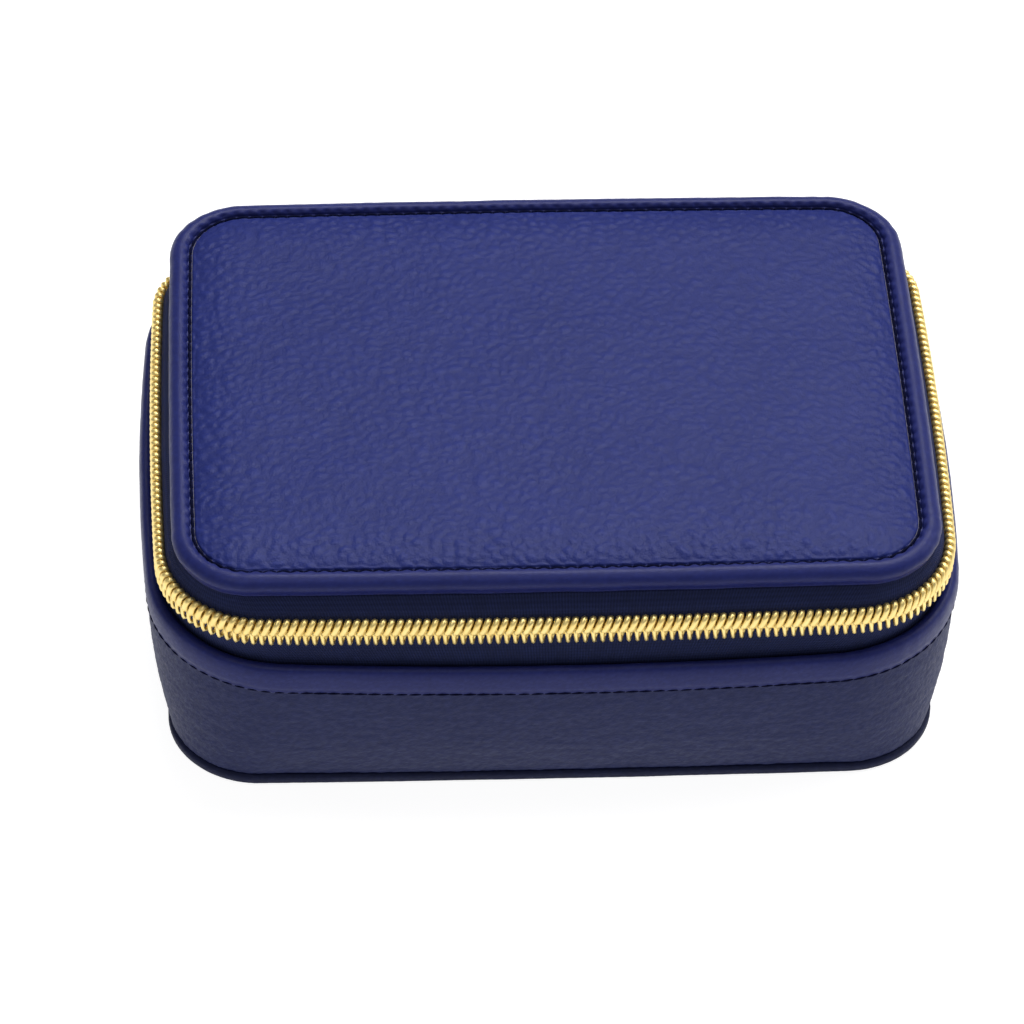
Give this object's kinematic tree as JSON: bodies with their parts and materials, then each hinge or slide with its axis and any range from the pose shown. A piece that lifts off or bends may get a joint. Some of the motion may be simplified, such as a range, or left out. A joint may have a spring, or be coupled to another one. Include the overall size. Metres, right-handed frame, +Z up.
{
  "type": "zip-around jewellery case",
  "caption": "Small rectangular leather jewellery case with round corners, a zip on all sides, a padded flat lid on a leather hinge, and a lined inside with ring rolls and trays.",
  "frame": {"origin": "middle of the underside, on the floor", "axes": "+X along the long front, to the right; -Y is the front and +Y the hinge side; +Z up"},
  "size_m": [0.1484, 0.116, 0.0506],
  "materials": {
    "grain_leather": "pebble grain, satin",
    "smooth_leather": "smooth, satin",
    "suede_lining": "suede, matt",
    "zip_tape": "woven, matt",
    "zip_coil": "gold plated coil",
    "gold_metal": "polished gold plate",
    "board": "grey pressed board",
    "padding": "soft sheet padding",
    "mirror": "silvered glass"
  },
  "bodies": {
    "base": {"bottom_leather": "grain_leather", "bottom_board": "board", "wall_board": "board", "wall_leather": "grain_leather", "rim_binding": "smooth_leather", "wall_padding": "padding", "wall_lining": "suede_lining", "floor_pad": "suede_lining", "divider_long": "suede_lining", "divider_cross": "suede_lining", "divider_short": "suede_lining", "ring_roll_1": "suede_lining", "ring_roll_2": "suede_lining", "ring_roll_3": "suede_lining", "ring_roll_4": "suede_lining", "ring_roll_5": "suede_lining", "ring_roll_6": "suede_lining", "ring_roll_7": "suede_lining", "zip_lower_tape": "zip_tape", "zip_lower_coil": "zip_coil", "zip_tail_tape": "zip_tape", "zip_tail_coil": "zip_coil", "zip_stops": "gold_metal", "hinge_leather": "smooth_leather"},
    "lid": {"lid_board": "board", "lid_binding": "smooth_leather", "lid_foam": "padding", "lid_top_leather": "grain_leather", "lid_lining": "suede_lining", "lid_mirror": "mirror", "mirror_frame": "suede_lining", "zip_upper_tape": "zip_tape", "zip_upper_coil": "zip_coil"},
    "slider": {"zip_slider": "gold_metal"},
    "pull_link": {"pull_link": "gold_metal"},
    "pull_tab": {"pull_tab": "gold_metal"}
  },
  "joints": [
    {"name": "lid_hinge", "type": "hinge", "parent": "base", "child": "lid", "pos_m": [0, 0.0544, 0.04], "axis": [-1, 0, 0], "range_deg": [0, 100], "deforming": ["hinge_leather"]},
    {"name": "slider_travel", "type": "slide", "parent": "base", "child": "slider", "axis": [-0.9997, -0.0225, 0], "range_m": [0, 0.01]},
    {"name": "link_swing", "type": "hinge", "parent": "slider", "child": "pull_link", "pos_m": [-0.03165, 0.0576, 0.04], "axis": [0.9997, 0.0225, 0], "range_deg": [0, 70]},
    {"name": "tab_swing", "type": "hinge", "parent": "pull_link", "child": "pull_tab", "pos_m": [-0.03165, 0.0576, 0.03517], "axis": [-0.0225, 0.9997, 0], "range_deg": [-60, 60]}
  ]
}
